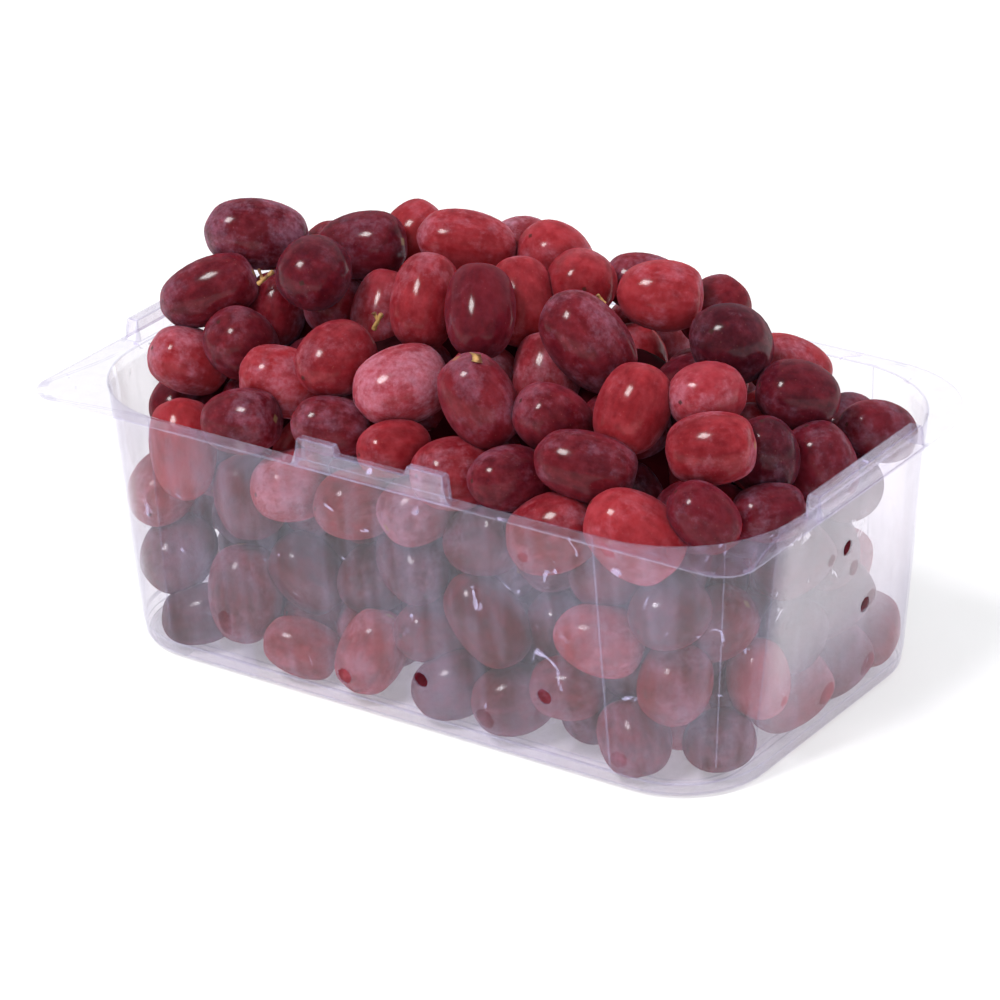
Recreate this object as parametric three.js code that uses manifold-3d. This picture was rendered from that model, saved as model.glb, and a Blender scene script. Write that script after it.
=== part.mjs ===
// A clear thermoformed fruit punnet, heaped with red grapes.
//
// Millimetres, +Z up. The origin is the middle of the punnet's footprint, on the surface it stands on.
// X runs along the punnet, and the front is at -Y. The front corners of the rim carry small ears, and
// its back corners are rounded. The punnet is one thin formed sheet, and the heap of grapes is one solid.

import * as THREE from 'three';
import { mergeVertices } from 'three/addons/utils/BufferGeometryUtils.js';
import Module from 'manifold-3d';

const wasm = await Module();
wasm.setup();

// ---- driving dimensions ------------------------------------------------------------------------

const RIM_HEIGHT = 64.1;
const SHEET = 0.6;

// Half length, half width and corner radius of the outlines that shape the tray.
const FLANGE = { halfLength: 95.5, halfWidth: 58.5, frontRadius: 8, backRadius: 28 };
const MOUTH = { halfLength: 90, halfWidth: 54.25, radius: 30.5 };
const BASE = { halfLength: 83.15, halfWidth: 48.45, radius: 21.2 };

const FOOT_HEIGHT = 4.2;
const FOOT_STEP = 0.35;
const FOOT_FILLET = 1.4;
const FOOT_WIDTH = 4.5;
const FLOOR_HEIGHT = 1.2;
const FLOOR_SLOPE = 1.2;

// Raised bars on the rim, which hold a stacked punnet or a lid. Those on the long sides stand higher
// at both ends. Each pair is the same bar turned half round.
const LONG_BAR = { centre: 1.3, halfLength: 19.3, endLength: 9.3, height: 4.4, endHeight: 6.5 };
const SHORT_BAR = { centre: -0.8, halfLength: 21.6, height: 5.2 };
const BAR_DRAFT = 0.8;

// Shallow upright flutes that stiffen the long walls, one near each end.
const FLUTE = { near: 45.4, far: 58.4, depth: 0.5, step: 0.6, top: 60, bottom: 7.5 };

// Vent holes: place along the wall and height above the table, for one long and one short wall.
const VENT_DIAMETER = 3.8;
const LONG_WALL_VENTS = [[-14, 9], [7.5, 14], [41, 19]];
const SHORT_WALL_VENTS = [[0, 46], [11, 27]];

// Grapes, and the heap that they make.
const GRAPE = { halfLength: 12, halfWidth: 7.8 };
const GAP = 0.5;
const WALL_LAYERS = 4;
const LAYER_PITCH = 16.4;
const TOP_ROWS = 8;
const TOP_SPREAD = 2.4;
const CORE = { points: 20, inset: 5, footInset: 11, top: 48 };
const HEAP = { left: -82, right: 88, back: 47, front: -51, edgeHeight: 36, crown: 63 };

const ARC_STEPS = 4;

// ---- outlines ----------------------------------------------------------------------------------

// Where a bar starts, changes height and ends along its side, with the slope of its ends.
function barStations(bar) {
  const ends = [bar.halfLength + BAR_DRAFT, bar.halfLength];
  if (bar.endLength) {
    ends.push(bar.halfLength - bar.endLength, bar.halfLength - bar.endLength - BAR_DRAFT);
  }
  const offsets = [...ends.map((d) => -d), ...ends.reverse()];
  return offsets.map((d) => bar.centre + d);
}

// A flute's far side rises to the start of the corner's arc, so it needs one station there.
const FLUTE_STATIONS = [FLUTE.near, FLUTE.near + FLUTE.step, FLUTE.far];

// Stations along each side in the order of travel, anticlockwise from the front right corner:
// right side, back, left side, front. A turned bar has its stations turned with it.
const LONG_STATIONS = [
  ...FLUTE_STATIONS.map((d) => -d).reverse(),
  ...barStations(LONG_BAR),
  ...FLUTE_STATIONS,
];
const SHORT_STATIONS = barStations(SHORT_BAR);

// A rounded rectangle with its front and back corner radii. Every outline has the same number of
// points in the same order, so that outlines of different sizes and radii can be joined up.
function trayOutline({ halfLength, halfWidth, frontRadius, backRadius, flute = 0 }) {
  const points = [];
  const arc = (signX, signY, radius, start) => {
    for (let i = 0; i <= ARC_STEPS; i += 1) {
      const angle = start + (i / ARC_STEPS) * (Math.PI / 2);
      const x = signX * (halfLength - radius) + radius * Math.cos(angle);
      const y = signY * (halfWidth - radius) + radius * Math.sin(angle);
      points.push([x, y]);
    }
  };
  const fluteInset = (x) => (Math.abs(x) > FLUTE.near + FLUTE.step / 2 ? flute : 0);
  arc(1, -1, frontRadius, -Math.PI / 2);
  SHORT_STATIONS.forEach((y) => points.push([halfLength, y]));
  arc(1, 1, backRadius, 0);
  LONG_STATIONS.forEach((x) => points.push([-x, halfWidth - fluteInset(x)]));
  arc(-1, 1, backRadius, Math.PI / 2);
  SHORT_STATIONS.forEach((y) => points.push([-halfLength, -y]));
  arc(-1, -1, frontRadius, Math.PI);
  LONG_STATIONS.forEach((x) => points.push([x, fluteInset(x) - halfWidth]));
  return points;
}

// ---- the punnet --------------------------------------------------------------------------------

// Height of the raised bars above the rim at a point, seen along the side that it lies on.
function barLift(x, y) {
  const along = Math.abs(y) > MOUTH.halfWidth ? -Math.sign(y) * x : Math.sign(x) * y;
  const bar = Math.abs(y) > MOUTH.halfWidth ? LONG_BAR : SHORT_BAR;
  const fromCentre = Math.abs(along - bar.centre);
  if (fromCentre > bar.halfLength + 0.01) return 0;
  const high = bar.endLength && fromCentre > bar.halfLength - bar.endLength - 0.01;
  return high ? bar.endHeight : bar.height;
}

// The levels of the formed sheet from the edge of the rim down the wall to the middle of the floor.
// Each has its outline, its height, and which way the sheet's other side lies: across and up.
function trayLevels() {
  const levels = [];
  const rim = (inX, inY, frontRadius, backRadius, raised, across) => levels.push({
    halfLength: FLANGE.halfLength - inX,
    halfWidth: FLANGE.halfWidth - inY,
    frontRadius,
    backRadius,
    z: RIM_HEIGHT,
    raised,
    across,
    up: -1,
  });
  rim(0, 0, FLANGE.frontRadius, FLANGE.backRadius, false, 0);
  rim(0.7, 0.6, 8, 28, false, -1);
  rim(1.3, 1.1, 9.5, 28.4, true, -1);
  rim(3.9, 3, 20, 29, true, 0.5);
  rim(4.6, 3.6, 26, 29.8, false, 0.5);
  levels.push({
    halfLength: MOUTH.halfLength,
    halfWidth: MOUTH.halfWidth,
    frontRadius: MOUTH.radius,
    backRadius: MOUTH.radius,
    z: RIM_HEIGHT,
    across: 0.3,
    up: -1,
  });
  const wall = (z, flute, inset = 0) => {
    const share = z / RIM_HEIGHT;
    const radius = BASE.radius + (MOUTH.radius - BASE.radius) * share - inset;
    levels.push({
      halfLength: BASE.halfLength + (MOUTH.halfLength - BASE.halfLength) * share - inset - SHEET,
      halfWidth: BASE.halfWidth + (MOUTH.halfWidth - BASE.halfWidth) * share - inset - SHEET,
      frontRadius: radius - SHEET,
      backRadius: radius - SHEET,
      z,
      flute,
      across: 1,
      up: 0,
    });
  };
  wall(FLUTE.top, FLUTE.depth);
  wall(FLUTE.bottom, FLUTE.depth);
  wall(FOOT_HEIGHT, 0);
  wall(FOOT_HEIGHT - 0.4, 0, FOOT_STEP);
  wall(FOOT_FILLET, 0, 0.2);
  const floor = (inset, z, across) => levels.push({
    halfLength: BASE.halfLength - inset,
    halfWidth: BASE.halfWidth - inset,
    frontRadius: BASE.radius - inset,
    backRadius: BASE.radius - inset,
    z,
    across,
    up: -1,
  });
  floor(FOOT_FILLET + SHEET, SHEET, 0);
  floor(FOOT_WIDTH + FOOT_FILLET, SHEET, -1);
  floor(FOOT_WIDTH + FOOT_FILLET + FLOOR_SLOPE, FLOOR_HEIGHT, -1);
  floor(FOOT_WIDTH + FOOT_FILLET + 10 * FLOOR_SLOPE, FLOOR_HEIGHT, 0);
  return levels;
}

// One side of the sheet: the rows of points, from the rim's edge inwards.
function traySide(levels, thickness) {
  return levels.map((level) => {
    const grow = level.across * thickness;
    const ring = trayOutline({
      ...level,
      halfLength: level.halfLength + grow,
      halfWidth: level.halfWidth + grow,
      frontRadius: level.frontRadius + grow,
      backRadius: level.backRadius + grow,
    });
    return ring.map(([x, y]) => {
      const lift = level.raised ? barLift(x, y) : 0;
      return [x, y, level.z + level.up * thickness + lift];
    });
  });
}

// ---- solids from rows of points ----------------------------------------------------------------

// Skins rows of points, each a closed loop, with triangles. The loops run anticlockwise seen from
// above, and faces point to the side that the loops' own stacking order gives.
function skinRows(rows, triangles, indexOf) {
  for (let i = 0; i + 1 < rows.length; i += 1) {
    const count = rows[i].length;
    for (let j = 0; j < count; j += 1) {
      const k = (j + 1) % count;
      const a = indexOf(i, j);
      const b = indexOf(i, k);
      const c = indexOf(i + 1, k);
      const d = indexOf(i + 1, j);
      triangles.push([a, b, c], [a, c, d]);
    }
  }
}

// A closed solid from a chain of loops. The first and the last loop are each closed by a fan to a
// middle point.
function solidFromRows(rows) {
  const count = rows[0].length;
  const vertices = rows.flat();
  const triangles = [];
  skinRows(rows, triangles, (i, j) => i * count + j);
  const cap = (row, index, reversed) => {
    const middle = [0, 1, 2].map((k) => row.reduce((sum, p) => sum + p[k], 0) / row.length);
    vertices.push(middle);
    for (let j = 0; j < count; j += 1) {
      const a = index * count + j;
      const b = index * count + ((j + 1) % count);
      triangles.push(reversed ? [b, a, vertices.length - 1] : [a, b, vertices.length - 1]);
    }
  };
  cap(rows[0], 0, true);
  cap(rows[rows.length - 1], rows.length - 1, false);
  return new wasm.Manifold(new wasm.Mesh({
    numProp: 3,
    vertProperties: new Float32Array(vertices.flat()),
    triVerts: new Uint32Array(triangles.flat()),
  }));
}

function solidFromGeometry(geometry) {
  const bare = geometry.index ? geometry : geometry.clone();
  bare.deleteAttribute('normal');
  bare.deleteAttribute('uv');
  const merged = mergeVertices(bare, 1e-4);
  return new wasm.Manifold(new wasm.Mesh({
    numProp: 3,
    vertProperties: new Float32Array(merged.attributes.position.array),
    triVerts: new Uint32Array(merged.index.array),
  }));
}

function geometryFromSolid(solid) {
  const mesh = solid.getMesh();
  const geometry = new THREE.BufferGeometry();
  geometry.setAttribute('position', new THREE.BufferAttribute(new Float32Array(mesh.vertProperties), 3));
  geometry.setIndex(new THREE.BufferAttribute(new Uint32Array(mesh.triVerts), 1));
  geometry.computeVertexNormals();
  return geometry;
}

// ---- vents -------------------------------------------------------------------------------------

// A round cutter through a wall: along Y for the long walls and along X for the short ones.
function ventCutter(x, y, z, alongX) {
  const length = 10;
  const cutter = new THREE.CylinderGeometry(VENT_DIAMETER / 2, VENT_DIAMETER / 2, length, 12);
  if (alongX) cutter.rotateZ(Math.PI / 2);
  cutter.translate(x, y, z);
  return solidFromGeometry(cutter);
}

function cutVents(tray) {
  const wallAt = (outer, inner, z) => inner + (outer - inner) * (z / RIM_HEIGHT);
  let cut = tray;
  for (const turn of [1, -1]) {
    for (const [along, z] of LONG_WALL_VENTS) {
      const y = -wallAt(MOUTH.halfWidth, BASE.halfWidth, z);
      cut = cut.subtract(ventCutter(turn * along, turn * y, z, false));
    }
    for (const [along, z] of SHORT_WALL_VENTS) {
      const x = wallAt(MOUTH.halfLength, BASE.halfLength, z);
      cut = cut.subtract(ventCutter(turn * x, turn * along, z, true));
    }
  }
  return cut;
}

function makePunnet() {
  const levels = trayLevels();
  const inside = traySide(levels, 0);
  const outside = traySide(levels, SHEET);
  // From the middle of the floor up the outside, over the rim's edge, and down the inside.
  const around = [...outside.reverse(), ...inside];
  return cutVents(solidFromRows(around));
}

// ---- the heap of grapes ------------------------------------------------------------------------

// The heap's height over the punnet: a crown that falls off steeply at its edges, a little higher at
// the left than at the right.
function heapHeight(x, y) {
  const middleX = (HEAP.left + HEAP.right) / 2;
  const middleY = (HEAP.front + HEAP.back) / 2;
  const u = Math.abs((x - middleX) / ((HEAP.right - HEAP.left) / 2));
  const v = Math.abs((y - middleY) / ((HEAP.back - HEAP.front) / 2));
  const dome = (1 - Math.min(1, u) ** 6) * (1 - Math.min(1, v) ** 2.2);
  const slope = 1 - 0.1 * (x / HEAP.right);
  return HEAP.edgeHeight + HEAP.crown * Math.sqrt(dome) * slope;
}

// A small steady unevenness, between -1 and 1, that is the same every time.
function jitter(i, j, salt) {
  const wave = Math.sin(i * 12.9898 + j * 78.233 + salt * 37.719) * 43758.5453;
  return 2 * (wave - Math.floor(wave)) - 1;
}

function grapeSolid(x, y, z, turn, lean, size = 1) {
  const grape = new THREE.SphereGeometry(1, 6, 4);
  grape.rotateZ(Math.PI / 2);
  grape.scale(GRAPE.halfLength * size, GRAPE.halfWidth * size, GRAPE.halfWidth * size);
  grape.rotateY(-lean);
  grape.rotateZ(turn);
  grape.translate(x, y, z);
  return solidFromGeometry(grape);
}

// Inside outline of the punnet at a height, drawn in by some distance.
function insideOutline(z, inset) {
  const share = z / RIM_HEIGHT;
  const halfLength = BASE.halfLength + (MOUTH.halfLength - BASE.halfLength) * share - SHEET - inset;
  const halfWidth = BASE.halfWidth + (MOUTH.halfWidth - BASE.halfWidth) * share - SHEET - inset;
  const radius = Math.max(4, BASE.radius + (MOUTH.radius - BASE.radius) * share - SHEET - inset);
  return { halfLength, halfWidth, radius };
}

// A point on a rounded rectangle and the direction of travel there, at a share of the way round.
function alongOutline({ halfLength, halfWidth, radius }, share) {
  const straightX = halfLength - radius;
  const straightY = halfWidth - radius;
  const quarter = (Math.PI / 2) * radius;
  const total = 4 * (straightX + straightY + quarter);
  let way = (((share % 1) + 1) % 1) * total;
  const sides = [
    [2 * straightY, halfLength, -straightY, Math.PI / 2, straightX, straightY],
    [2 * straightX, straightX, halfWidth, Math.PI, -straightX, straightY],
    [2 * straightY, -halfLength, straightY, -Math.PI / 2, -straightX, -straightY],
    [2 * straightX, -straightX, -halfWidth, 0, straightX, -straightY],
  ];
  for (const [length, startX, startY, heading, cornerX, cornerY] of sides) {
    if (way <= length) {
      return { x: startX + way * Math.cos(heading), y: startY + way * Math.sin(heading), heading };
    }
    way -= length;
    if (way <= quarter) {
      const turned = heading + way / radius;
      const x = cornerX + radius * Math.cos(turned - Math.PI / 2);
      const y = cornerY + radius * Math.sin(turned - Math.PI / 2);
      return { x, y, heading: turned };
    }
    way -= quarter;
  }
  return { x: halfLength, y: -straightY, heading: Math.PI / 2 };
}

// The body of the heap behind its outer grapes: rows up the wall and over the top.
function heapCore() {
  const rows = [];
  const ring = (z, inset, scale, onHeap) => {
    const outline = insideOutline(Math.min(z, RIM_HEIGHT), inset);
    const row = [];
    for (let i = 0; i < CORE.points; i += 1) {
      const spot = alongOutline(outline, i / CORE.points);
      const x = spot.x * scale;
      const y = spot.y * scale;
      row.push([x, y, onHeap ? Math.max(z, heapHeight(x, y) - GRAPE.halfWidth) : z]);
    }
    rows.push(row);
  };
  const base = FLOOR_HEIGHT + GAP;
  ring(base, CORE.footInset, 1, false);
  ring(base + 5, CORE.inset, 1, false);
  ring(CORE.top - 6, CORE.inset, 1, false);
  [0.95, 0.86, 0.7, 0.45, 0.2].forEach((scale) => ring(CORE.top, CORE.inset, scale, true));
  return solidFromRows(rows);
}

// Layers of grapes that lie along the wall.
function wallGrapes() {
  const grapes = [];
  const spacing = 2 * GRAPE.halfLength + 1.5;
  for (let layer = 0; layer < WALL_LAYERS; layer += 1) {
    const z = FLOOR_HEIGHT + GAP + GRAPE.halfWidth + layer * LAYER_PITCH;
    const outline = insideOutline(z, GRAPE.halfWidth + GAP + 0.4);
    const around = 4 * (outline.halfLength + outline.halfWidth - 2 * outline.radius)
      + 2 * Math.PI * outline.radius;
    const count = Math.floor(around / spacing);
    for (let i = 0; i < count; i += 1) {
      const spot = alongOutline(outline, (i + 0.5 * layer) / count);
      const open = heapHeight(spot.x, spot.y) < z + 4;
      const size = 0.94 + 0.05 * jitter(i, layer, 1);
      if (!open) grapes.push(grapeSolid(spot.x, spot.y, z, spot.heading, 0.25 * jitter(i, layer, 2), size));
    }
  }
  return grapes;
}

// Rows of grapes over the top of the heap, from its front slope to its back slope, each row half a
// grape further along than the last.
function topGrapes() {
  const grapes = [];
  const stepX = 2 * GRAPE.halfLength - 1;
  const middleY = (HEAP.front + HEAP.back) / 2;
  const reachY = (HEAP.back - HEAP.front) / 2;
  for (let row = 0; row < TOP_ROWS; row += 1) {
    const slope = ((row + 0.5) / TOP_ROWS - 0.5) * TOP_SPREAD;
    const y = middleY + reachY * Math.sin(slope);
    const along = Math.floor((HEAP.right - HEAP.left) / stepX);
    for (let i = 0; i <= along; i += 1) {
      const x = HEAP.left + 8 + (i + (row % 2) / 2) * stepX + 2.5 * jitter(i, row, 3);
      const turn = 0.9 * jitter(i, row, 4);
      const lean = 0.3 * jitter(i, row, 5);
      const z = heapHeight(x, y) - GRAPE.halfWidth + 2 * jitter(i, row, 6);
      const limit = insideOutline(Math.min(z, RIM_HEIGHT), GRAPE.halfLength + GAP + 1);
      const cornerX = Math.max(0, Math.abs(x) - (limit.halfLength - limit.radius));
      const cornerY = Math.max(0, Math.abs(y) - (limit.halfWidth - limit.radius));
      const inside = Math.hypot(cornerX, cornerY) <= limit.radius;
      if (inside) grapes.push(grapeSolid(x, y, z, turn, lean, 1));
    }
  }
  return grapes;
}

function makeHeap() {
  let heap = heapCore();
  for (const grape of [...wallGrapes(), ...topGrapes()]) {
    heap = heap.add(grape);
  }
  return heap;
}

// ---- the model ---------------------------------------------------------------------------------

const clearPlastic = new THREE.MeshStandardMaterial({
  color: 0xe9e6ee,
  roughness: 0.08,
  metalness: 0,
  transparent: true,
  opacity: 0.3,
});
const grapeSkin = new THREE.MeshStandardMaterial({ color: 0x7a1c28, roughness: 0.35, metalness: 0 });

function part(name, solid, material) {
  const mesh = new THREE.Mesh(geometryFromSolid(solid), material);
  mesh.name = name;
  return mesh;
}

const punnetOfGrapes = new THREE.Group();
punnetOfGrapes.add(part('punnet', makePunnet(), clearPlastic));
punnetOfGrapes.add(part('grape_heap', makeHeap(), grapeSkin));

export default punnetOfGrapes;
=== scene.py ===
# %% [markdown]
# # A punnet of red grapes
#
# A punnet is the thin clear tray that soft fruit is sold in. This lesson makes one, fills it with
# separate grapes, each with its own size, lean and colour, and lights it on a pale table.
# The solid model is loaded first. It fixes the size and the place of everything that follows.

import math

import bmesh
import bpy
import numpy as np
from mathutils import Matrix, Vector
from mathutils.bvhtree import BVHTree


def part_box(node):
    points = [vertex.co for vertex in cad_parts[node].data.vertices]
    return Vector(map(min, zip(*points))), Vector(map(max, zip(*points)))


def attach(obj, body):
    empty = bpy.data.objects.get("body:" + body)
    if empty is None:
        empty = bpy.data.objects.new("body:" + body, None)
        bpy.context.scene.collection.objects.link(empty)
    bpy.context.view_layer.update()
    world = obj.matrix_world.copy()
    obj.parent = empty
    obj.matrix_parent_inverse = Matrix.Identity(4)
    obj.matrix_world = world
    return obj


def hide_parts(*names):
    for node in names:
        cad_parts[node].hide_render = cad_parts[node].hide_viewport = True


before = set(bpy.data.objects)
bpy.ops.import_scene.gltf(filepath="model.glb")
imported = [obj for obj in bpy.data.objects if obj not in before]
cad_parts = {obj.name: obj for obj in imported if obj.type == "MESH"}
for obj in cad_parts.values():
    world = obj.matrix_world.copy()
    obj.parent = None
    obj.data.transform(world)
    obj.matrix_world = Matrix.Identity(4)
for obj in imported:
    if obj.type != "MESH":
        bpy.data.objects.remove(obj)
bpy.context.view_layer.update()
MM = 0.001
tray_low, tray_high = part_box("punnet")
heap_low, heap_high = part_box("grape_heap")
print("tray, mm:", [round(v / MM, 1) for v in tray_high - tray_low])
print("heap, mm:", [round(v / MM, 1) for v in heap_high - heap_low])

# %% [markdown]
# ## The camera
#
# A long lens from a metre away keeps the tray's long sides nearly parallel. The camera stands off the
# front right corner and looks down on the heap, with a slight tilt of the horizon.

# %% Place the camera
AZIMUTH = math.radians(35)
ELEVATION = math.radians(25.1)
ROLL = math.radians(-1.7)
DISTANCE = 1.093
FOCAL_LENGTH = 173.2
AIM = Vector((1.9, -9.1, 40.4)) * MM

towards_camera = Vector((math.sin(AZIMUTH) * math.cos(ELEVATION),
                         -math.cos(AZIMUTH) * math.cos(ELEVATION),
                         math.sin(ELEVATION)))
lens = bpy.data.cameras.new("view_camera")
lens.lens = FOCAL_LENGTH
camera = bpy.data.objects.new("view_camera", lens)
bpy.context.scene.collection.objects.link(camera)
level = towards_camera.to_track_quat("Z", "Y").to_matrix()
camera_turn = level @ Matrix.Rotation(ROLL, 3, "Z")
camera.matrix_world = Matrix.Translation(AIM + towards_camera * DISTANCE) @ camera_turn.to_4x4()
bpy.context.scene.camera = camera
print("camera at", [round(v, 3) for v in camera.location])

# %% [markdown]
# ## Working as by hand
#
# Each piece starts as a primitive, and edit mode tools shape it. A person picks faces and edges with
# the mouse. Here they are picked by their place, so three small helpers do what the mouse does: pick
# afresh, pick within what is already picked, and slice the picked faces with a plane. Three small
# distances, from the finest to the widest, say how close a place has to be to count.

# %% Helpers for edit mode
SNAP = 0.01 * MM
SLACK = 0.05 * MM
REACH = 0.1 * MM


def deselect():
    bpy.ops.object.select_all(action="DESELECT")


def only(piece):
    deselect()
    piece.select_set(True)
    bpy.context.view_layer.objects.active = piece


def middle(item):
    if isinstance(item, bmesh.types.BMVert):
        return item.co
    return sum((v.co for v in item.verts), Vector()) / len(item.verts)


def pick(kind, test, within=False):
    """Picks the vertices, edges or faces whose middle passes the test, and says how many."""
    bpy.ops.mesh.select_mode(type=kind)
    data = bpy.context.edit_object.data
    mesh = bmesh.from_edit_mesh(data)
    items = {"VERT": mesh.verts, "EDGE": mesh.edges, "FACE": mesh.faces}[kind]
    chosen = [i for i in items if (i.select or not within) and test(middle(i))]
    bpy.ops.mesh.select_all(action="DESELECT")
    for item in chosen:
        item.select_set(True)
    mesh.select_flush_mode()
    bmesh.update_edit_mesh(data)
    return len(chosen)


def slice_faces(test, point, normal):
    pick("FACE", test)
    bpy.ops.mesh.bisect(plane_co=point, plane_no=normal)


def apply_modifier(piece, kind, **settings):
    only(piece)
    modifier = piece.modifiers.new(kind.lower(), kind)
    for name, value in settings.items():
        setattr(modifier, name, value)
    bpy.ops.object.modifier_apply(modifier=modifier.name)


def count_faces(piece):
    print(piece.name, "has", len(piece.data.polygons), "faces")


# %% [markdown]
# ## The tray's outlines
#
# The real tray is one sheet of clear plastic, drawn hot into a mould. Its wall leans out a little so
# that trays nest and come off the mould. It could be a box with a bevel, but the corner's radius grows
# on the way up, so it is built from outlines: each is a plane whose corners are bevelled to its own
# radius, and each is bridged to the one before. The work goes outwards, from the floor over the foot,
# up the wall and across the rim.

# %% Sizes of the tray's outlines
SHEET = 0.45 * MM
CAD_SHEET = 0.6 * MM
BAR_HEIGHT = 6.5 * MM
HALF_LENGTH = tray_high.x
HALF_WIDTH = tray_high.y
RIM_UNDERSIDE = tray_high.z - BAR_HEIGHT - CAD_SHEET
WALL_TOP = {"in_x": 5.5 * MM, "in_y": 4.25 * MM, "radius": 30.5 * MM}
WALL_FOOT = {"in_x": 12.35 * MM, "in_y": 10.05 * MM, "radius": 21.2 * MM}
FLOOR_UNDERSIDE = 0.6 * MM
FOOT_TOP = 4.2 * MM
PANEL_BOTTOM = 7.5 * MM
PANEL_TOP = 60 * MM
CORNER_STEPS = 14
NEAR_MIDDLE = 10 * MM


def wall_outline(height, inset=0.0):
    """Half length, half width and corner radius of the outside of the wall at a height."""
    share = height / (RIM_UNDERSIDE + CAD_SHEET)
    size = {}
    for name in ("in_x", "in_y", "radius"):
        size[name] = WALL_FOOT[name] + (WALL_TOP[name] - WALL_FOOT[name]) * share
    return (HALF_LENGTH - size["in_x"] - inset, HALF_WIDTH - size["in_y"] - inset,
            size["radius"] - inset)


def round_level(height, inset=0.0):
    half_length, half_width, radius = wall_outline(height, inset)
    return half_length, half_width, radius, radius, height


def foot_level(inset, height):
    half_length, half_width, radius = wall_outline(0, inset)
    return half_length, half_width, radius, radius, height


def rim_level(in_x, in_y, front_radius, back_radius):
    return (HALF_LENGTH - in_x * MM, HALF_WIDTH - in_y * MM, front_radius * MM, back_radius * MM,
            RIM_UNDERSIDE)


tray_levels = [
    foot_level(7.7 * MM, FLOOR_UNDERSIDE),
    foot_level(6.5 * MM, 0),
    foot_level(2.0 * MM, 0),
    foot_level(0.9 * MM, 0.4 * MM),
    round_level(1.4 * MM, 0.2 * MM),
    round_level(FOOT_TOP - 0.4 * MM, 0.35 * MM),
    round_level(FOOT_TOP),
    round_level(PANEL_BOTTOM),
    round_level(PANEL_TOP),
    round_level(RIM_UNDERSIDE),
    rim_level(4.6, 3.6, 26.3, 30.1),
    rim_level(3.9, 3.0, 20.3, 29.3),
    rim_level(1.3, 1.1, 9.5, 28.4),
    rim_level(0.7, 0.6, 8.4, 28.0),
    rim_level(0, 0, 8, 28),
]

# %% Bridge the outlines into one sheet
def add_outline(half_length, half_width, front_radius, back_radius, height):
    """Adds a flat face with rounded corners to the mesh that is being edited."""
    bpy.ops.mesh.select_all(action="DESELECT")
    bpy.ops.mesh.primitive_plane_add(size=2, location=(0, 0, height))
    bpy.ops.transform.resize(value=(half_length, half_width, 1), center_override=(0, 0, height))
    new = pick("VERT", lambda p: True, within=True)
    assert new == 4
    for side, radius in ((1, back_radius), (-1, front_radius)):
        pick("VERT", lambda p: corner_of(p, half_length, half_width, side, height))
        bpy.ops.mesh.bevel(offset=radius, offset_type="OFFSET", segments=CORNER_STEPS, affect="VERTICES")


def corner_of(point, half_length, half_width, side, height):
    corner = Vector((math.copysign(half_length, point.x), side * half_width, height))
    return (point - corner).length < SNAP


def drop_new_face(height):
    pick("FACE", lambda p: abs(p.z - height) < SNAP and p.xy.length < NEAR_MIDDLE)
    bpy.ops.mesh.delete(type="ONLY_FACE")


def bridge_levels(lower, upper):
    """Adds two outlines as bare loops and skins the strip between them."""
    for level in (lower, upper):
        add_outline(*level)
        drop_new_face(level[4])
    bpy.ops.mesh.select_mode(type="EDGE")
    bpy.ops.mesh.select_all(action="DESELECT")
    bpy.ops.mesh.select_non_manifold(extend=False, use_boundary=False, use_multi_face=False,
                                     use_non_contiguous=False, use_verts=False)
    bpy.ops.mesh.bridge_edge_loops()


deselect()
bpy.ops.mesh.primitive_plane_add(size=1)
tray = bpy.context.object
tray.name = "clear_tray"
bpy.ops.object.mode_set(mode="EDIT")
bpy.ops.mesh.delete(type="VERT")
for lower, upper in zip(tray_levels, tray_levels[1:]):
    bridge_levels(lower, upper)
add_outline(*tray_levels[0])
bpy.ops.mesh.select_all(action="SELECT")
bpy.ops.mesh.remove_doubles(threshold=SNAP)
bpy.ops.mesh.normals_make_consistent(inside=True)
bpy.ops.object.mode_set(mode="OBJECT")
count_faces(tray)
floor_face = min(tray.data.polygons, key=lambda face: face.center.xy.length)
print("the floor's outside looks down:", floor_face.normal.z < 0)

# %% [markdown]
# ## Bars on the rim
#
# Raised bars on the rim hold the next punnet in a stack, or a lid. The strip of rim that carries a bar
# is cut across where the bar starts, steps and ends. Then the bar's corners are lifted. The long bars
# stand higher at both ends. Each bar has a twin on the other side of the tray, turned half round.

# %% Lift the bars
LONG_BAR = {"centre": 1.3 * MM, "half": 19.3 * MM, "end": 9.3 * MM, "height": 4.4 * MM,
            "near": 1.1 * MM, "far": 3.0 * MM}
SHORT_BAR = {"centre": -0.8 * MM, "half": 21.6 * MM, "height": 5.2 * MM,
             "near": 1.3 * MM, "far": 3.9 * MM}
RIM_BAND = 5 * MM
BAR_ZONE = 50 * MM
BAR_DRAFT = 0.8 * MM
BAR_CLEAR = 2.5 * BAR_DRAFT
EDGE_ROUND = 0.2 * MM
ALONG_X = Vector((1, 0, 0))
ALONG_Y = Vector((0, 1, 0))


def bar_cuts(bar):
    """Where the rim is cut across: at the bar's top and foot, past its foot, and at its steps."""
    cuts = [bar["half"], bar["half"] + BAR_DRAFT, bar["half"] + BAR_CLEAR]
    if "end" in bar:
        cuts += [bar["half"] - bar["end"], bar["half"] - bar["end"] - BAR_DRAFT]
    return [bar["centre"] + way * cut for cut in cuts for way in (-1, 1)]


def on_rim(point, outwards, half_size):
    """True on the flat rim at one side of the tray, but for the corners."""
    return point.z > RIM_UNDERSIDE - REACH and point.dot(outwards) > half_size - RIM_BAND


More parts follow.
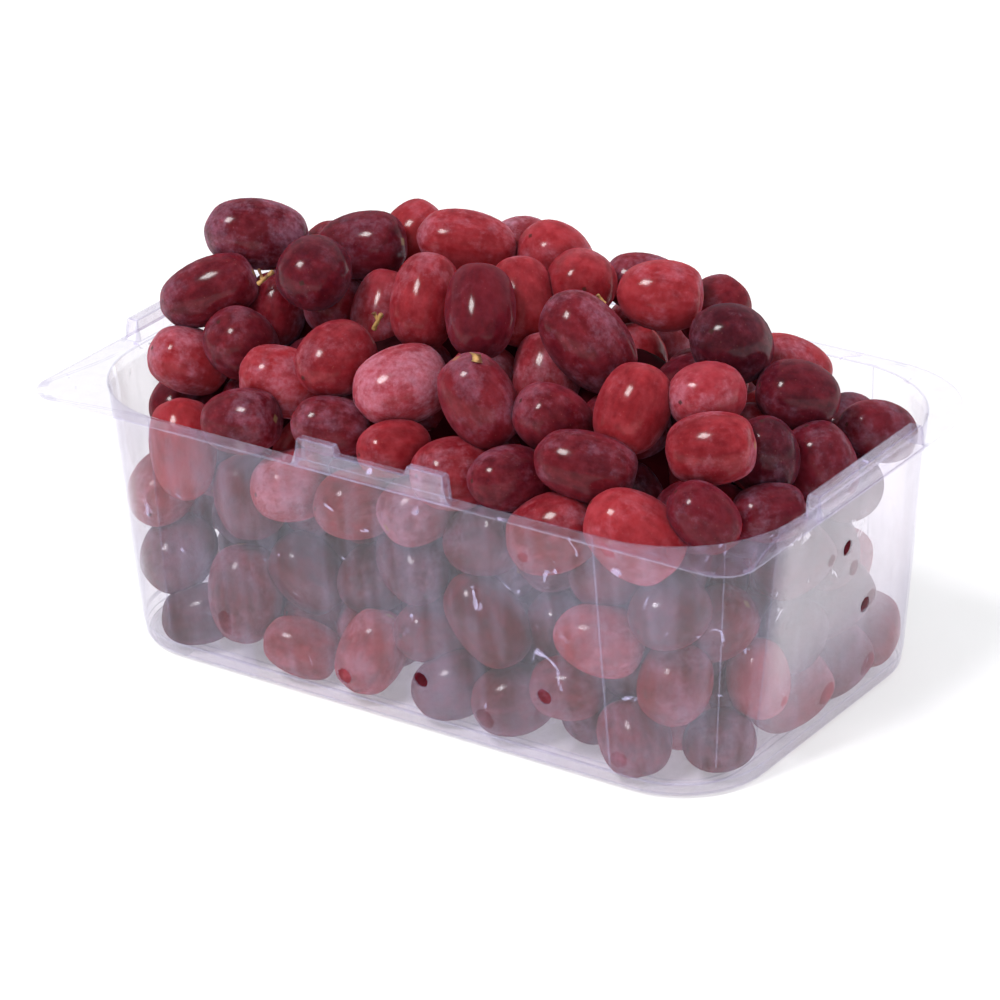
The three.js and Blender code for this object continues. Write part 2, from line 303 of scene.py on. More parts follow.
def lift_bar(bar, outwards, along, half_size):
    """Raises a bar on the side that faces outwards. It lies between two insets from the rim's edge."""
    def reach(point):
        return abs(point.dot(along) - bar["centre"])

    for cut in bar_cuts(bar):
        slice_faces(lambda p: on_rim(p, outwards, half_size) and reach(p) < BAR_ZONE, along * cut, along)

    def top(point):
        return (half_size - bar["far"] - SLACK < point.dot(outwards) < half_size - bar["near"] + SLACK
                and point.z > RIM_UNDERSIDE - REACH)

    pick("VERT", lambda p: top(p) and reach(p) < bar["half"] + SLACK)
    bpy.ops.transform.translate(value=(0, 0, bar["height"]))
    if "end" in bar:
        pick("VERT", lambda p: top(p) and bar["half"] - bar["end"] - SLACK < reach(p)
             and reach(p) < bar["half"] + SLACK)
        bpy.ops.transform.translate(value=(0, 0, BAR_HEIGHT - bar["height"]))


only(tray)
bpy.ops.object.mode_set(mode="EDIT")
for turn in (1, -1):
    lift_bar(LONG_BAR, -turn * ALONG_Y, turn * ALONG_X, HALF_WIDTH)
    lift_bar(SHORT_BAR, turn * ALONG_X, turn * ALONG_Y, HALF_LENGTH)
bpy.ops.object.mode_set(mode="OBJECT")
apply_modifier(tray, "BEVEL", width=EDGE_ROUND, segments=2, limit_method="ANGLE",
               angle_limit=math.radians(25))
count_faces(tray)

# %% [markdown]
# ## Panels in the long walls
#
# The middle of each long wall stands out a fraction of a millimetre, as a panel with two upright edges.
# It keeps the wall from bulging. Two pairs of upright cuts give it edges, and the strip between them is
# pulled out. The back wall's panel is the front one's turned half round.

# %% Pull out the panels
PANEL_ENDS = (-46 * MM, 56.8 * MM)
PANEL_STEP = 0.3 * MM
PANEL_HEIGHT = 0.3 * MM
LONG_WALL_FROM = 44 * MM
STRAIGHT_TO = 60 * MM

bpy.ops.object.mode_set(mode="EDIT")
for turn in (1, -1):
    first, last = PANEL_ENDS
    for cut in (first - PANEL_STEP, first, last, last + PANEL_STEP):
        slice_faces(lambda p: turn * p.y < -LONG_WALL_FROM and FOOT_TOP < p.z < RIM_UNDERSIDE - REACH
                    and abs(p.x) < STRAIGHT_TO, (turn * cut, 0, 0), ALONG_X)
    pulled = pick("VERT", lambda p: turn * p.y < -LONG_WALL_FROM
                  and PANEL_BOTTOM - REACH < p.z < PANEL_TOP + REACH
                  and first - REACH < turn * p.x < last + REACH)
    bpy.ops.transform.translate(value=(0, -turn * PANEL_HEIGHT, 0))
    print("panel corners pulled out:", pulled)
bpy.ops.object.mode_set(mode="OBJECT")

# %% [markdown]
# ## Creases at the corners
#
# Where the sheet was drawn round a corner, it keeps a few thin upright ridges. An upright edge of the
# wall is widened by a bevel into a narrow strip, and the middle of the strip is raised a little.

# %% Raise the corner creases
RIDGE_HALF = 0.18 * MM
RIDGE_HEIGHT = 0.15 * MM
RIDGE_TOP = RIM_UNDERSIDE - 1 * MM
RIDGES = (((1, -1), (8, 12)), ((-1, 1), (8, 12)), ((-1, -1), (1,)), ((1, 1), (1,)))


def arc_point(height, turn_x, turn_y, step):
    """A point on a corner of the wall, some steps round from the long wall."""
    half_length, half_width, radius = wall_outline(height)
    angle = math.radians(90) * step / CORNER_STEPS
    return Vector((turn_x * (half_length - radius + radius * math.sin(angle)),
                   turn_y * (half_width - radius + radius * math.cos(angle)), height))


def on_ridge(point, turn_x, turn_y, step):
    return (point - arc_point(point.z, turn_x, turn_y, step)).length < REACH


only(tray)
bpy.ops.object.mode_set(mode="EDIT")
for (turn_x, turn_y), steps in RIDGES:
    for step in steps:
        pick("EDGE", lambda p: PANEL_BOTTOM < p.z < RIDGE_TOP
             and on_ridge(p, turn_x, turn_y, step))
        bpy.ops.mesh.bevel(offset=RIDGE_HALF, offset_type="OFFSET", segments=2, affect="EDGES")
        raised = pick("VERT", lambda p: PANEL_BOTTOM - REACH < p.z < RIDGE_TOP
                      and on_ridge(p, turn_x, turn_y, step))
        bpy.ops.transform.shrink_fatten(value=RIDGE_HEIGHT)
        print("ridge points raised:", raised)
bpy.ops.object.mode_set(mode="OBJECT")

# %% [markdown]
# ## Thickness and vent holes
#
# The sheet gets its wall inwards, so that its outside keeps its place. Then small round vents are cut
# through the walls with cylinders, as a punch does after the tray is formed.

# %% Give the sheet its wall and punch the vents
VENT_RADIUS = 1.9 * MM
PUNCH_DEPTH = 9 * MM
LONG_WALL_VENTS = ((-14, 9), (7.5, 14), (41, 19))
SHORT_WALL_VENTS = ((0, 46), (11, 27))

apply_modifier(tray, "SOLIDIFY", thickness=SHEET, offset=-1, use_even_offset=True,
               thickness_clamp=0.8)
count_faces(tray)


def add_punch(place, outwards):
    turn = outwards.to_track_quat("Z", "Y").to_euler()
    bpy.ops.mesh.primitive_cylinder_add(vertices=24, radius=VENT_RADIUS, depth=PUNCH_DEPTH,
                                        location=place, rotation=turn)
    return bpy.context.object


deselect()
punches = []
for turn in (1, -1):
    for along, height in LONG_WALL_VENTS:
        wall_y = wall_outline(height * MM)[1]
        punches.append(add_punch((turn * along * MM, -turn * wall_y, height * MM), ALONG_Y))
    for along, height in SHORT_WALL_VENTS:
        wall_x = wall_outline(height * MM)[0]
        punches.append(add_punch((turn * wall_x, turn * along * MM, height * MM), ALONG_X))
deselect()
for punch in punches:
    punch.select_set(True)
bpy.context.view_layer.objects.active = punches[0]
bpy.ops.object.transform_apply()
bpy.ops.object.join()
apply_modifier(tray, "BOOLEAN", operation="DIFFERENCE", object=punches[0], solver="EXACT")
bpy.data.objects.remove(punches[0])
only(tray)
bpy.ops.object.shade_smooth_by_angle(angle=math.radians(32))
apply_modifier(tray, "WEIGHTED_NORMAL", keep_sharp=True)
count_faces(tray)

# %% [markdown]
# ## Writing materials as sums
#
# A material is a web of nodes. Written out one by one they are hard to read, so a small class stands
# for a node's output: adding or multiplying two of them adds the Math node that does it. Every other
# node comes from one method.

# %% A small language for nodes
class Wire:
    """The output of a node. Sums and products of wires add Math nodes to the same material."""

    def __init__(self, tree, socket=None):
        self.tree = tree
        self.socket = socket

    def node(self, kind, settings=None, inputs=None, out=0):
        """Adds a node: its settings first, then the values or wires of its sockets."""
        made = self.tree.nodes.new(kind)
        for name, value in (settings or {}).items():
            setattr(made, name, value)
        for name, value in (inputs or {}).items():
            if isinstance(value, Wire):
                self.tree.links.new(value.socket, made.inputs[name])
            else:
                made.inputs[name].default_value = value
        return Wire(self.tree, made.outputs[out]) if made.outputs else None

    def math(self, operation, first, second):
        return self.node("ShaderNodeMath", {"operation": operation}, {0: first, 1: second})

    def __add__(self, other):
        return self.math("ADD", self, other)

    def __mul__(self, other):
        return self.math("MULTIPLY", self, other)

    def __rsub__(self, other):
        return self.math("SUBTRACT", other, self)

    def __sub__(self, other):
        return self.math("SUBTRACT", self, other)

    def __pow__(self, other):
        return self.math("POWER", self, other)

    __radd__ = __add__
    __rmul__ = __mul__

    def step(self, low, high):
        """Rises smoothly from 0 to 1 while the value goes from low to high."""
        settings = {"interpolation_type": "SMOOTHSTEP"}
        return self.node("ShaderNodeMapRange", settings, {0: self, 1: low, 2: high})

    def tint(self, first, second):
        """A colour that goes from the first to the second as the value goes from 0 to 1."""
        return self.node("ShaderNodeMix", {"data_type": "RGBA"}, {0: self, 6: first, 7: second}, out=2)


def new_material(name):
    material = bpy.data.materials.new(name)
    material.use_nodes = True
    material.node_tree.nodes.clear()
    return material, Wire(material.node_tree)


def finish_material(start, shader):
    start.node("ShaderNodeOutputMaterial", None, {"Surface": shader})

# %% [markdown]
# ## Clear sheet
#
# Thin clear plastic doesn't bend what is seen through it, so a glass shader would only cost time and
# noise. Light goes straight through, and a part of it comes back as a reflection: a few parts in a
# hundred head on, and nearly all at a grazing angle. A trace of lilac haze stands for fine scratches,
# and small pale spots are partly drops that have dried on it and partly painted glints. Most of each
# short end gets a painted pale veil, paler higher up, which stands in for the light that falls on it.
# The product of a place's X and Y says which part, because it stays the same when an end is turned
# half round. Where the sheet is bent sharply it whitens and lets less light through, partly as bent
# plastic does and partly as a painted highlight, so the narrow faces along its edges get a finish of
# their own: a light line in front of the fruit, and a grey one in front of the pale table.

# %% Clear sheet material
CLEAR = (0.965, 0.955, 0.97, 1)
CREASED = (0.87, 0.86, 0.89, 1)
LILAC_HAZE = (0.7, 0.63, 0.92, 1)
# Painted light: the pale end-wall colour below, with its amount, heights and side, gives most of each
# short end a veil that stands in for the light falling on it.
PAINTED_END_VEIL = (0.9, 0.85, 0.93, 1)
MIRROR = (0.9, 0.89, 0.94, 1)
PAINTED_END_AMOUNT = 0.125
PAINTED_END_BUILDS = (4 * MM, 36 * MM)
PAINTED_END_STOPS = (60.5 * MM, 61.5 * MM)
END_STARTS = (74 * MM, 78 * MM)
PAINTED_END_SIDE = (-0.003, -0.0022)
HEAD_ON = 0.045
CREASE_WIDTH = 0.46 * MM


def sheet_material(name, whitening_and_highlight, clearness):
    material, start = new_material(name)
    facing = start.node("ShaderNodeLayerWeight", None, {"Blend": 0.5}, out="Facing")
    place = start.node("ShaderNodeTexCoord", None, None, out="Object")
    upright = start.node("ShaderNodeVectorMath", {"operation": "MULTIPLY"},
                         {0: place, 1: (1, 1, 0.12)})
    cloud = start.node("ShaderNodeTexNoise", None, {"Vector": place, "Scale": 55.0, "Detail": 4.0})
    streaks = start.node("ShaderNodeTexNoise", None,
                         {"Vector": upright, "Scale": 260.0, "Detail": 3.0})
    drop_and_glint_spots = start.node("ShaderNodeTexNoise", None,
                       {"Vector": place, "Scale": 150.0, "Distortion": 1.4})
    apart = start.node("ShaderNodeSeparateXYZ", None, {"Vector": place})
    along = Wire(start.tree, apart.socket.node.outputs["X"])
    across = Wire(start.tree, apart.socket.node.outputs["Y"])
    height = Wire(start.tree, apart.socket.node.outputs["Z"])
    # Painted light: a pale veil over most of each short end, paler higher up, for the light that falls
    # there.
    on_wall = height.step(*PAINTED_END_BUILDS) * (1 - height.step(*PAINTED_END_STOPS))
    end_wall = along.math("ABSOLUTE", along, 0.0).step(*END_STARTS)
    end_wall = end_wall * (along * across).step(*PAINTED_END_SIDE)
    painted_end_light = end_wall * on_wall
    haze_drops_and_glints = cloud.step(0.35, 0.7) * 0.036 + streaks.step(0.4, 0.7) * 0.034
    # Pale spots on the walls, partly dried drops and partly painted glints.
    haze_drops_and_glints = haze_drops_and_glints + drop_and_glint_spots.step(0.69, 0.75) * height.step(0.006, 0.012) * 0.3
    through = start.node("ShaderNodeBsdfTransparent", None, {"Color": clearness})
    lilac = start.node("ShaderNodeBsdfDiffuse", None, {"Color": LILAC_HAZE})
    painted_veil_shader = start.node("ShaderNodeBsdfDiffuse", None, {"Color": PAINTED_END_VEIL})
    haze = start.node("ShaderNodeMixShader", None, {0: painted_end_light, 1: lilac, 2: painted_veil_shader})
    gloss = start.node("ShaderNodeBsdfAnisotropic", None, {"Color": MIRROR, "Roughness": 0.05})
    amount = haze_drops_and_glints + painted_end_light * PAINTED_END_AMOUNT + whitening_and_highlight
    hazy = start.node("ShaderNodeMixShader", None, {0: amount, 1: through, 2: haze})
    mirror = HEAD_ON + (1 - HEAD_ON) * facing ** 5
    finish_material(start, start.node("ShaderNodeMixShader", None, {0: mirror, 1: hazy, 2: gloss}))
    return material


def strip_width(face):
    """The width of a long narrow face: twice its area over its outline."""
    corners = [tray.data.vertices[i].co for i in face.vertices]
    outline = sum((a - b).length for a, b in zip(corners, corners[1:] + corners[:1]))
    return 2 * face.area / outline


tray.data.materials.clear()
tray.data.materials.append(sheet_material("clear_sheet", 0.0, CLEAR))
# The second finish, on the narrow faces along sharp bends, is partly the whitening of bent plastic and
# partly a painted highlight.
tray.data.materials.append(sheet_material("crease_whitening_and_highlight", 0.08, CREASED))
creases = [face for face in tray.data.polygons if strip_width(face) < CREASE_WIDTH]
for face in creases:
    face.material_index = 1
print("faces along creases:", len(creases), "of", len(tray.data.polygons))
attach(tray, "root")
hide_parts("punnet")

# %% [markdown]
# ## One grape
#
# A grape is an oval with a slightly broader stem end. Where its stalk came off there is a small dimple,
# and at the other end a tiny dark point. It could be a stretched sphere, but then its two ends would be
# alike. So a cube is cut once and rounded to a ball of a few dozen faces, each end gets a small ring of
# faces for its dimple, and a Subdivision Surface smooths it at the very end. Its own size is set from
# the smoothed shape, because smoothing draws a cage inwards.

# %% Model the grape and its varieties
SMOOTH_LEVELS = 2
END_RING = 0.4
END_ZONE = 0.6
RING_REACH = 0.5
TIP_REACH = 0.05
TIP_SINK = 0.05
SHOULDER = 0.3


def smoothed_size(piece):
    """Half width and half length of a cage once it is smoothed."""
    smooth = piece.modifiers.new("smooth", "SUBSURF")
    smooth.levels = SMOOTH_LEVELS
    smooth.render_levels = SMOOTH_LEVELS
    smoothed = piece.evaluated_get(bpy.context.evaluated_depsgraph_get()).data
    half_width = max(v.co.x for v in smoothed.vertices)
    half_length = max(abs(v.co.z) for v in smoothed.vertices)
    piece.modifiers.remove(smooth)
    return half_width, half_length


def shape_end(end, blunt, sink):
    """Gives one end its ring of faces, flattens it, and sinks its tip."""
    pick("FACE", lambda p: end * p.z > END_ZONE)
    bpy.ops.mesh.inset(thickness=END_RING, depth=0)
    pick("VERT", lambda p: end * p.z > END_ZONE and p.xy.length < RING_REACH)
    bpy.ops.transform.translate(value=(0, 0, -end * blunt))
    tips = pick("VERT", lambda p: end * p.z > END_ZONE and p.xy.length < TIP_REACH)
    assert tips == 1
    bpy.ops.transform.translate(value=(0, 0, -end * sink))


def add_grape_model(name, broad, stem_blunt, tip_blunt, dimple):
    """A grape of half size 1 every way, with its stem end up. It is stretched when it is copied."""
    deselect()
    bpy.ops.mesh.primitive_cube_add(size=2)
    model = bpy.context.object
    model.name = name
    bpy.ops.object.mode_set(mode="EDIT")
    bpy.ops.mesh.subdivide(number_cuts=1)
    bpy.ops.object.mode_set(mode="OBJECT")
    apply_modifier(model, "CAST", factor=1, cast_type="SPHERE", radius=0, size=1, use_radius_as_size=False)
    bpy.ops.object.mode_set(mode="EDIT")
    shape_end(1, stem_blunt, dimple)
    shape_end(-1, tip_blunt, TIP_SINK)
    for end, wider in ((1, broad), (-1, 2 - broad)):
        pick("VERT", lambda p: end * p.z > SHOULDER)
        bpy.ops.transform.resize(value=(wider, wider, 1), center_override=(0, 0, 0))
    bpy.ops.object.mode_set(mode="OBJECT")
    half_width, half_length = smoothed_size(model)
    bpy.ops.object.mode_set(mode="EDIT")
    bpy.ops.mesh.select_all(action="SELECT")
    bpy.ops.transform.resize(value=(1 / half_width, 1 / half_width, 1 / half_length),
                             center_override=(0, 0, 0))
    bpy.ops.object.mode_set(mode="OBJECT")
    ends = model.data.attributes.new("grape_end", "FLOAT", "POINT")
    points = [v.co * half_width for v in model.data.vertices]
    ends.data.foreach_set("value", [math.copysign(max(0, 1 - p.xy.length), p.z) for p in points])
    count_faces(model)
    return model


grape_models = [
    add_grape_model("grape_even", 1.0, 0.06, 0.05, 0.1),
    add_grape_model("grape_egg", 1.05, 0.09, 0.02, 0.1),
    add_grape_model("grape_blunt", 1.02, 0.11, 0.08, 0.14),
]

# %% [markdown]
# ## Where the grapes lie
#
# The grapes that show best are listed one by one, as a greengrocer would set them out: over the
# crown, down the front slope, at the right end, and against the clear front and right walls. Each has
# its kind, the place of
# its middle, how its long axis lies, and its length and thickness, in millimetres and degrees. Lean is
# the axis's slope as seen from the front right corner, and swing turns it from there to the viewer.
# Kinds: r is red, p is pink with bloom, w is wine red, and k is nearly black.

# %% Grapes listed one by one
CROWN = (
    ("w", -65, -8, 91, -8, -10, 24.5, 16.5),
    ("w", -67, -22, 81, 2, -10, 24.5, 15.5),
    ("k", -40, -20, 91, 40, -75, 21, 17),
    ("k", -41, 2, 90, 12, -15, 23, 15.5),
    ("w", -57, -14, 77, 65, -20, 18.5, 14),
    ("p", -31, -6, 79, 80, -10, 20, 15),
    ("r", -17, 8, 94, -25, -10, 23.5, 15),
    ("r", -12, -16, 89, 80, -10, 23, 15.5),
    ("k", 5, -19, 91.5, 88, -15, 23, 15.5),
    ("r", 6, -2, 88, 85, -15, 21.5, 15),
    ("w", 31, -15, 88, -52, -15, 26, 17),
    ("p", 19, -14, 77, 82, -10, 22, 15.5),
    ("r", 36, 8, 91.5, -15, -25, 20.5, 15.5),
    ("r", 13, 8, 89.5, 20, -60, 19, 16),
    ("k", 57, 2, 87, -30, -60, 21, 17.5),
    ("p", 61, -15, 82, 12, -40, 19, 15),
    ("k", 73, 4, 76.5, -8, -20, 19.5, 15.5),
    ("r", -37, 14, 89, 20, -40, 18, 15),
    ("r", -2, 20, 89, -40, -40, 19, 15.5),
    ("p", -12.7, 24, 87, 10, -50, 18, 15),
    ("w", 20.6, 22, 86.5, -6, -20, 18.5, 14),
    ("w", 41, 20, 85, 10, -40, 17.5, 15),
    ("r", 60, 22, 74, -25, -15, 20, 15),
)
FRONT_SLOPE = (
    ("r", -68, -30, 68, -15, -20, 20, 15.5),
    ("w", -56, -28, 72.6, -30, -50, 18, 16),
    ("r", -42, -34, 68, 8, -15, 20.5, 16),
    ("r", -25, -33, 78, 25, -40, 20, 16.5),
    ("p", -6.8, -33, 75.4, 18, -15, 23, 17.5),
    ("w", 16, -36, 78, 100, 10, 22.5, 16.5),
    ("w", 31, -30, 75, -22, -20, 20, 15.5),
    ("w", 46, -38, 71, 20, -10, 23.5, 15),
    ("r", 49, -26, 79.2, 65, -15, 21, 16),
    ("r", 70, -26, 76, 2, -15, 20.5, 16),
    ("w", -42.5, -43, 65, 30, -15, 20, 15),
    ("w", -20, -42, 66.5, -12, -15, 18.5, 13.5),
    ("r", -3, -42, 65.5, 20, -30, 17.5, 13),
    ("r", 15, -43, 64, 5, -30, 19.5, 16),
    ("w", 28, -43, 65, -10, -15, 20.5, 14.5),
    ("k", 74, -38, 65, -40, -20, 18, 13.5),
    ("k", 80, -20, 62, 15, -20, 17.5, 13),
    ("k", 76, -14, 69.5, -60, -20, 18.5, 14.5),
    ("k", 81, 0, 65, -45, -25, 20, 16),
    ("k", 81.5, 24, 62.5, -10, -15, 21, 14),
    ("k", 69, 30, 59, 20, -30, 17.5, 14.5),
)
BEHIND_WALLS = (
    ("r", 40, -45, 57, 40, -10, 22, 17.5),
    ("r", 62, -44, 60, -50, -10, 25, 18.5),
    ("r", -62, -43, 52, 88, -10, 25, 15.5),
    ("p", -32, -42, 49, 10, -30, 19, 16.5),
    ("p", -14, -42, 49, 0, -25, 20, 16.5),
    ("p", -76, -36, 34.5, 75, -20, 20, 16),
    ("k", -70, -38.5, 20, 60, -20, 20, 17),
    ("k", -63.5, -41, 8.4, 15, -20, 18, 14.4),
    ("w", -48, -41, 17.5, 80, -10, 23.5, 17),
    ("r", -31.5, -42, 8, -15, -15, 19, 13.4),
    ("p", -12.5, -41, 12, 55, -15, 21, 15.5),
    ("w", 4, -38, 17, -30, -20, 20, 15.5),
    ("k", 8, -41, 8.8, 25, -30, 19, 15.4),
    ("w", 21, -43, 29, -50, -15, 24, 16),
    ("w", 25, -41, 8.9, 20, -30, 19, 16.5),
    ("w", 42, -40, 16.5, -10, -30, 17.5, 14.2),
    ("k", 43, -33, 8.8, 40, -30, 19, 15.2),
    ("r", 51, -42, 32, -20, -10, 21.5, 16),
    ("w", 58, -41, 9, 80, -30, 18, 16),
    ("k", 67, -40, 43, 30, -30, 19, 16.5),
    ("w", 67, -38, 24, 70, -15, 19, 16),
    ("k", 74, -31, 8.4, 20, -30, 17.5, 14.2),
    ("p", 77, -20, 20, 88, -10, 18.5, 14),
    ("p", 76, -4, 8.8, 40, -10, 22, 15.6),
    ("w", 76, 14, 8.9, 20, -30, 20, 15.8),
    ("p", 75, 31, 9, 80, -15, 18.5, 15.5),
    ("k", 77, -5, 24, 60, -20, 18.5, 15),
    ("k", 78, 10, 27, 10, -15, 22, 15.5),
    ("k", 79, -7, 44, 30, -25, 20, 15.5),
    ("k", 79, 6, 42, 70, -20, 19, 15.5),
    ("k", 81, 12, 53, 60, -20, 18.5, 14.5),
)
hand_rows = CROWN + FRONT_SLOPE + BEHIND_WALLS
print("grapes set by hand:", len(hand_rows))

# %% [markdown]
# ## Filling in behind
#
# The rest of the heap is filled by rule, out to the surface of the solid heap that they replace. Places
# on a staggered grid are kept where they lie under that surface but not deep inside it, and clear of
# the listed grapes. A few hollows are left empty, and the grapes in the shade behind the front wall
# are all given the dark kind, as painted shade. Each lies roughly flat on the heap, as fruit rolls
# until it does. A fixed seed makes the same heap every time.

# %% Fill the heap
FILL_STEP = 14.6
COLUMN_STEP = FILL_STEP * 1.15
LAYER_STEP = FILL_STEP * 0.82
FIRST_LAYER = 8
FILL_SHIFT = 2.2
FILL_DEPTH = (6.5, 32)
FILL_LENGTH = (18.5, 23.5)
FILL_WIDTH = (14.6, 16.8)
FILL_KINDS = "rwpkwrwk"
LIE_FLAT = 0.8
CLEARANCE = 12.5
HOLLOWS = (((-52, -50, 24), (-4, -30, 46)), ((-8, -50, 20), (24, -32, 50)),
           ((60, 22, 22), (90, 55, 60)))
# A box where the filled-in grapes are made dark, as painted shade.
PAINTED_SHADE_ZONE = (((-60, -46, 16), (62, -5, 56)),)

chance = np.random.default_rng(11)
heap_surface = BVHTree.FromObject(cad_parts["grape_heap"], bpy.context.evaluated_depsgraph_get())
seen_across = np.array((math.cos(AZIMUTH), math.sin(AZIMUTH), 0.0))
seen_near = np.array(towards_camera)
seen_up = np.cross(seen_near, seen_across)


def long_axis(lean, swing):
    lean, swing = math.radians(lean), math.radians(swing)
    flat = math.cos(lean) * seen_across + math.sin(lean) * seen_up
    return math.cos(swing) * flat + math.sin(swing) * seen_near


def depth_in_heap(spot):
    """Millimetres from a spot to the heap's surface, or minus one for a spot outside it."""
    point = Vector(spot) * MM
    above, normal, *rest = heap_surface.ray_cast(point, Vector((0, 0, 1)))
    if above is None or normal.z < 0:
        return -1
    return heap_surface.find_nearest(point)[3] / MM


def in_boxes(spot, boxes):
    return any(all(low[k] < spot[k] < high[k] for k in range(3)) for low, high in boxes)


centres = [row[1:4] for row in hand_rows]
axes = [long_axis(row[4], row[5]) for row in hand_rows]
lengths = [row[6] for row in hand_rows]
widths = [row[7] for row in hand_rows]
kinds = [row[0] for row in hand_rows]
set_by_hand = len(hand_rows)
low_corner = np.array(heap_low) / MM
high_corner = np.array(heap_high) / MM
for layer in range(int((high_corner[2] - low_corner[2]) / LAYER_STEP) + 1):
    for row in range(int((high_corner[1] - low_corner[1]) / FILL_STEP) + 1):
        for column in range(int((high_corner[0] - low_corner[0]) / COLUMN_STEP) + 1):
            shift = 0.5 * ((layer + row) % 2)
            spot = low_corner + np.array(((column + shift) * COLUMN_STEP,
                                          (row + 0.5 * (layer % 2)) * FILL_STEP,
                                          FIRST_LAYER + layer * LAYER_STEP))
            spot += chance.uniform(-FILL_SHIFT, FILL_SHIFT, 3)
            if not FILL_DEPTH[0] < depth_in_heap(spot) < FILL_DEPTH[1] or in_boxes(spot, HOLLOWS):
                continue
            if min(np.linalg.norm(spot - np.array(c)) for c in centres[:set_by_hand]) < CLEARANCE:
                continue
            normal = heap_surface.find_nearest(Vector(spot) * MM)[1]
            axis = chance.normal(size=3)
            axis -= LIE_FLAT * np.array(normal) * (axis @ np.array(normal))
            centres.append(spot)
            axes.append(axis / np.linalg.norm(axis))
            lengths.append(chance.uniform(*FILL_LENGTH))
            widths.append(chance.uniform(*FILL_WIDTH))
            kind = FILL_KINDS[chance.integers(len(FILL_KINDS))]
            # Filled-in grapes where the front wall's shade falls get the dark kind, as painted shade.
            kinds.append("k" if in_boxes(spot, PAINTED_SHADE_ZONE) else kind)
centres, axes = np.array(centres, float), np.array(axes, float)
lengths, widths = np.array(lengths), np.array(widths)
print("grapes in all:", len(centres))

# %% [markdown]
# ## Letting the grapes settle
#
# As placed, some grapes overlap. Each is taken as a chain of three balls along its axis, and over many
# small steps balls that overlap push each other apart, and the walls and the floor push back. The
# listed grapes are drawn home, and the others sink a little. A grape pushed at one end turns. The
# worst overlap that is left is about two millimetres, which is more than soft fruit flattens where it
# touches, but it is hidden inside the two skins.

# %% Settle the heap
SETTLE_STEPS = 140
HAND_SHARE = 0.25
HOME_PULL = 0.06
WALL_GAP = 0.4
WALL_STRENGTH = 1.6
RIM_MARGIN = 4
PUSH_STRENGTH = 0.6
TURN_STRENGTH = 0.5
END_BALL = 0.8
SINK = 0.03


def ball_chains():
    """Centres and radii of three balls for each grape, in millimetres."""
    end_radius = END_BALL * widths / 2
    reach = (lengths / 2 - end_radius)[:, None]
    balls = np.stack((centres, centres + axes * reach, centres - axes * reach), axis=1)
    radii = np.stack((widths / 2, end_radius, end_radius), axis=1)
    return balls.reshape(-1, 3), radii.reshape(-1)


def wall_push(balls, radii):
    """How far each ball has to move to be inside the tray, over its floor and under the heap's top."""
    push = np.zeros_like(balls)
    floor = (FLOOR_UNDERSIDE + SHEET) / MM + WALL_GAP
    push[:, 2] = np.maximum(floor + radii - balls[:, 2], 0)
    push[:, 2] -= np.maximum(balls[:, 2] + radii + WALL_GAP - high_corner[2], 0)
    share = np.clip(balls[:, 2], 0, RIM_UNDERSIDE / MM) / (RIM_UNDERSIDE / MM + CAD_SHEET / MM)
    below_rim = balls[:, 2] < RIM_UNDERSIDE / MM + RIM_MARGIN
    half = []
    for name, full in (("in_x", HALF_LENGTH), ("in_y", HALF_WIDTH)):
        inset = WALL_FOOT[name] + (WALL_TOP[name] - WALL_FOOT[name]) * share
        half.append((full - inset - SHEET) / MM - WALL_GAP - radii)
    corner = (WALL_FOOT["radius"] + (WALL_TOP["radius"] - WALL_FOOT["radius"]) * share) / MM - radii
    half = np.stack(half, axis=1)
    over = np.abs(balls[:, :2]) - (half - corner[:, None])
    past = np.maximum(over, 0)
    distance = np.linalg.norm(past, axis=1)
    out = np.where(distance > corner, distance - corner, 0) * below_rim
    way = past / np.maximum(distance, 1e-6)[:, None]
    push[:, :2] -= np.sign(balls[:, :2]) * way * out[:, None]
    return push


def neighbour_push(balls, radii, share):
    """Pushes on all balls from the balls of other grapes, and the worst overlap."""
    gap = balls[:, None, :] - balls[None, :, :]
    distance = np.sqrt((gap ** 2).sum(axis=2)) + 1e-9
    overlap = radii[:, None] + radii[None, :] - distance
    owner = np.arange(len(balls)) // 3
    overlap[owner[:, None] == owner[None, :]] = 0
    overlap = np.maximum(overlap, 0)
    weight = share[:, None] / (share[:, None] + share[None, :])
    return (gap * (overlap * weight / distance)[:, :, None]).sum(axis=1) * PUSH_STRENGTH, overlap.max()


home = centres.copy()
is_hand = np.arange(len(centres)) < set_by_hand
share = np.repeat(np.where(is_hand, HAND_SHARE, 1.0), 3)
for step in range(SETTLE_STEPS):
    balls, radii = ball_chains()
    push, worst = neighbour_push(balls, radii, share)
    push += WALL_STRENGTH * wall_push(balls, radii)
    push = push.reshape(-1, 3, 3)
    centres += push.mean(axis=1)
    centres[:, 2] -= np.where(is_hand, 0, SINK)
    centres[is_hand] += HOME_PULL * (home - centres)[is_hand]
    axes += (push[:, 1] - push[:, 2]) * TURN_STRENGTH / lengths[:, None]
    axes /= np.linalg.norm(axes, axis=1)[:, None]
moved = np.linalg.norm(centres - home, axis=1)[is_hand]
print("worst overlap, mm:", round(float(worst), 2))
print("hand grapes moved on average, mm:", round(float(moved.mean()), 2))
print("hand grapes moved at most, mm:", round(float(moved.max()), 2))

# %% [markdown]
# ## Copies, each a little different
#
# Every grape is a copy of a model with a mesh of its own, so that its cage can be made slightly uneven.
# It carries four values for its finish: its own shade, how much bloom it has, where each point lies
# between its two ends, and where it lies on the grape, wherever the grape itself is. The grapes of one
# kind are joined into one piece and smoothed together.

# %% Copy, turn and join the grapes
UNEVEN = 0.022
WIDTH_SPREAD = (0.97, 1.03)
BLOOM_SPREAD = (0.5, 1.4)
PLACE_SPREAD = 50
KINDS = {"r": "red_grapes", "p": "pink_grapes", "w": "wine_grapes", "k": "dark_grapes"}
BLOOM = {"r": 0.4, "p": 0.5, "w": 0.44, "k": 0.38}


